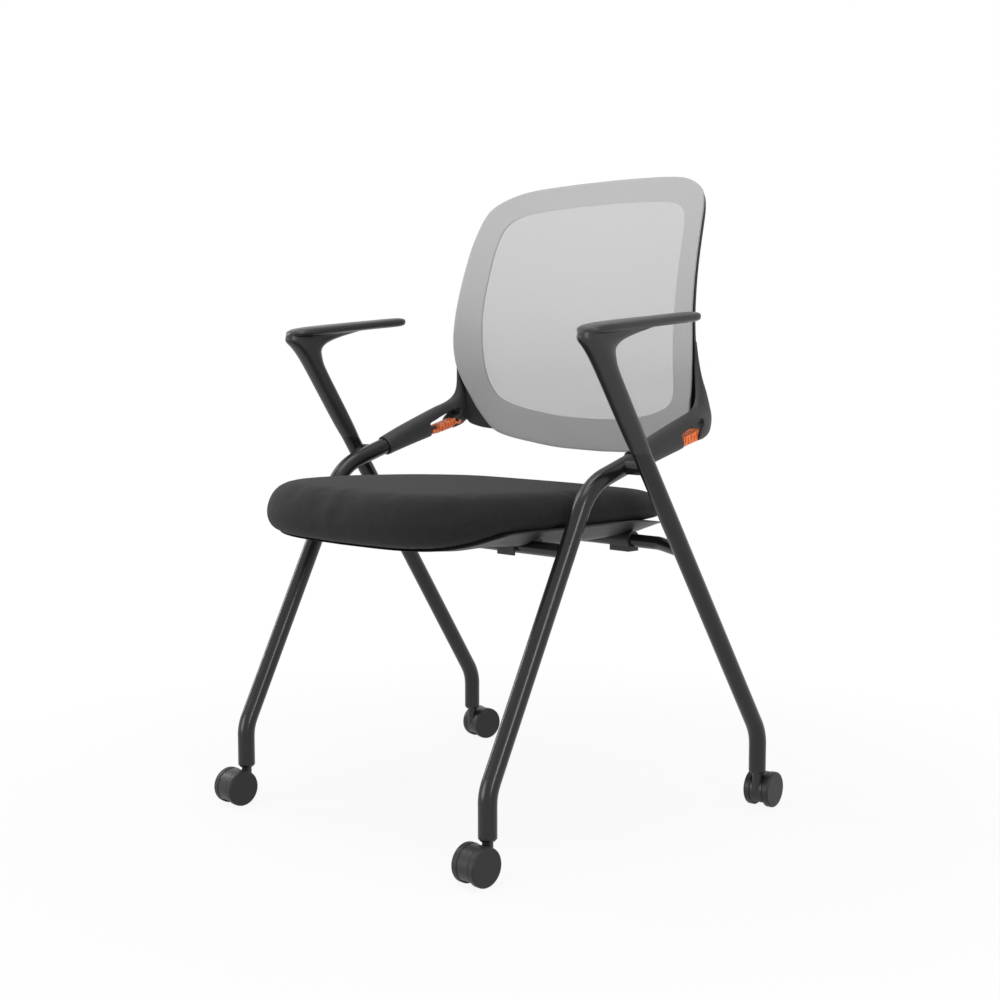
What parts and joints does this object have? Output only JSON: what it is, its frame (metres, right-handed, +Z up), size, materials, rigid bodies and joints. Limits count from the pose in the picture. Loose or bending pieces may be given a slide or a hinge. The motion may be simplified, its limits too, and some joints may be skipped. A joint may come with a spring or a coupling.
{
  "type": "nesting chair",
  "caption": "Nesting armchair with a tip-up upholstered seat, a curved mesh back on two slotted flexing brackets, crossed steel tube legs and twin-wheel casters.",
  "frame": {"origin": "on the floor under the middle of the chair's overall box", "axes": "+Z up, -Y the way a sitter faces, +X to the sitter's left"},
  "size_m": [0.625, 0.5834, 0.8952],
  "materials": {
    "leg_steel": "satin black powder coat",
    "stem_steel": "plain turned steel",
    "screw_steel": "zinc plated",
    "wheel_plastic": "moulded, fine grain",
    "caster_plastic": "moulded, satin",
    "armrest_plastic": "moulded, fine grain",
    "seat_fabric": "woven upholstery",
    "plywood": "raw",
    "seat_plastic": "moulded, fine grain",
    "mesh": "stretched knitted mesh",
    "carrier_plastic": "moulded, matt",
    "spring_orange": "matt",
    "back_plastic": "moulded, fine grain"
  },
  "bodies": {
    "frame": {"front_leg_left": "leg_steel", "front_leg_right": "leg_steel", "rear_leg_left": "leg_steel", "rear_leg_right": "leg_steel", "leg_spacer_left": "leg_steel", "leg_spacer_right": "leg_steel", "front_crossbar": "leg_steel", "rear_crossbar": "leg_steel", "armrest_left": "armrest_plastic", "armrest_right": "armrest_plastic", "back_sleeve_left": "back_plastic", "back_sleeve_right": "back_plastic", "caster_socket_front_left": "caster_plastic", "caster_socket_front_right": "caster_plastic", "caster_socket_rear_left": "caster_plastic", "caster_socket_rear_right": "caster_plastic"},
    "seat": {"seat_cushion": "seat_fabric", "seat_board": "plywood", "seat_shell": "seat_plastic", "pivot_clip_left": "seat_plastic", "pivot_clip_right": "seat_plastic", "seat_rest_left": "seat_plastic", "seat_rest_right": "seat_plastic", "seat_screws": "screw_steel"},
    "backrest": {"back_frame": "back_plastic", "mesh_carrier": "carrier_plastic", "mesh_panel": "mesh", "back_screws": "screw_steel", "flex_spring_left": "spring_orange", "flex_spring_right": "spring_orange"},
    "caster_front_left": {"caster_hood_front_left": "caster_plastic", "caster_stem_front_left": "stem_steel", "caster_axle_front_left": "stem_steel"},
    "wheel_outer_front_left": {"wheel_outer_front_left": "wheel_plastic"},
    "wheel_inner_front_left": {"wheel_inner_front_left": "wheel_plastic"},
    "caster_front_right": {"caster_hood_front_right": "caster_plastic", "caster_stem_front_right": "stem_steel", "caster_axle_front_right": "stem_steel"},
    "wheel_outer_front_right": {"wheel_outer_front_right": "wheel_plastic"},
    "wheel_inner_front_right": {"wheel_inner_front_right": "wheel_plastic"},
    "caster_rear_left": {"caster_hood_rear_left": "caster_plastic", "caster_stem_rear_left": "stem_steel", "caster_axle_rear_left": "stem_steel"},
    "wheel_outer_rear_left": {"wheel_outer_rear_left": "wheel_plastic"},
    "wheel_inner_rear_left": {"wheel_inner_rear_left": "wheel_plastic"},
    "caster_rear_right": {"caster_hood_rear_right": "caster_plastic", "caster_stem_rear_right": "stem_steel", "caster_axle_rear_right": "stem_steel"},
    "wheel_outer_rear_right": {"wheel_outer_rear_right": "wheel_plastic"},
    "wheel_inner_rear_right": {"wheel_inner_rear_right": "wheel_plastic"}
  },
  "joints": [
    {"name": "seat_tip", "type": "hinge", "parent": "frame", "child": "seat", "pos_m": [0, 0.08752, 0.385], "axis": [-1, 0, 0], "range_deg": [0, 80]},
    {"name": "back_flex", "type": "hinge", "parent": "frame", "child": "backrest", "pos_m": [0, 0.15105, 0.55603], "axis": [-1, 0, 0], "range_deg": [0, 9], "stiffness_Nm_per_rad": 190, "springref_deg": -2.86, "deforming": ["flex_spring_left", "flex_spring_right"]},
    {"name": "swivel_front_left", "type": "hinge", "parent": "frame", "child": "caster_front_left", "pos_m": [0.247, -0.242, 0.052], "axis": [0, 0, 1], "continuous": true},
    {"name": "spin_outer_front_left", "type": "hinge", "parent": "caster_front_left", "child": "wheel_outer_front_left", "pos_m": [0.247, -0.261, 0.025], "axis": [1, 0, 0], "continuous": true},
    {"name": "spin_inner_front_left", "type": "hinge", "parent": "caster_front_left", "child": "wheel_inner_front_left", "pos_m": [0.247, -0.261, 0.025], "axis": [1, 0, 0], "continuous": true},
    {"name": "swivel_front_right", "type": "hinge", "parent": "frame", "child": "caster_front_right", "pos_m": [-0.247, -0.242, 0.052], "axis": [0, 0, 1], "continuous": true},
    {"name": "spin_outer_front_right", "type": "hinge", "parent": "caster_front_right", "child": "wheel_outer_front_right", "pos_m": [-0.247, -0.261, 0.025], "axis": [1, 0, 0], "continuous": true},
    {"name": "spin_inner_front_right", "type": "hinge", "parent": "caster_front_right", "child": "wheel_inner_front_right", "pos_m": [-0.247, -0.261, 0.025], "axis": [1, 0, 0], "continuous": true},
    {"name": "swivel_rear_left", "type": "hinge", "parent": "frame", "child": "caster_rear_left", "pos_m": [0.29, 0.2455, 0.052], "axis": [0, 0, 1], "continuous": true},
    {"name": "spin_outer_rear_left", "type": "hinge", "parent": "caster_rear_left", "child": "wheel_outer_rear_left", "pos_m": [0.28736, 0.26432, 0.025], "axis": [0.9903, 0.1392, 0], "continuous": true},
    {"name": "spin_inner_rear_left", "type": "hinge", "parent": "caster_rear_left", "child": "wheel_inner_rear_left", "pos_m": [0.28736, 0.26432, 0.025], "axis": [0.9903, 0.1392, 0], "continuous": true},
    {"name": "swivel_rear_right", "type": "hinge", "parent": "frame", "child": "caster_rear_right", "pos_m": [-0.29, 0.2455, 0.052], "axis": [0, 0, 1], "continuous": true},
    {"name": "spin_outer_rear_right", "type": "hinge", "parent": "caster_rear_right", "child": "wheel_outer_rear_right", "pos_m": [-0.28736, 0.26432, 0.025], "axis": [0.9903, -0.1392, 0], "continuous": true},
    {"name": "spin_inner_rear_right", "type": "hinge", "parent": "caster_rear_right", "child": "wheel_inner_rear_right", "pos_m": [-0.28736, 0.26432, 0.025], "axis": [0.9903, -0.1392, 0], "continuous": true}
  ]
}
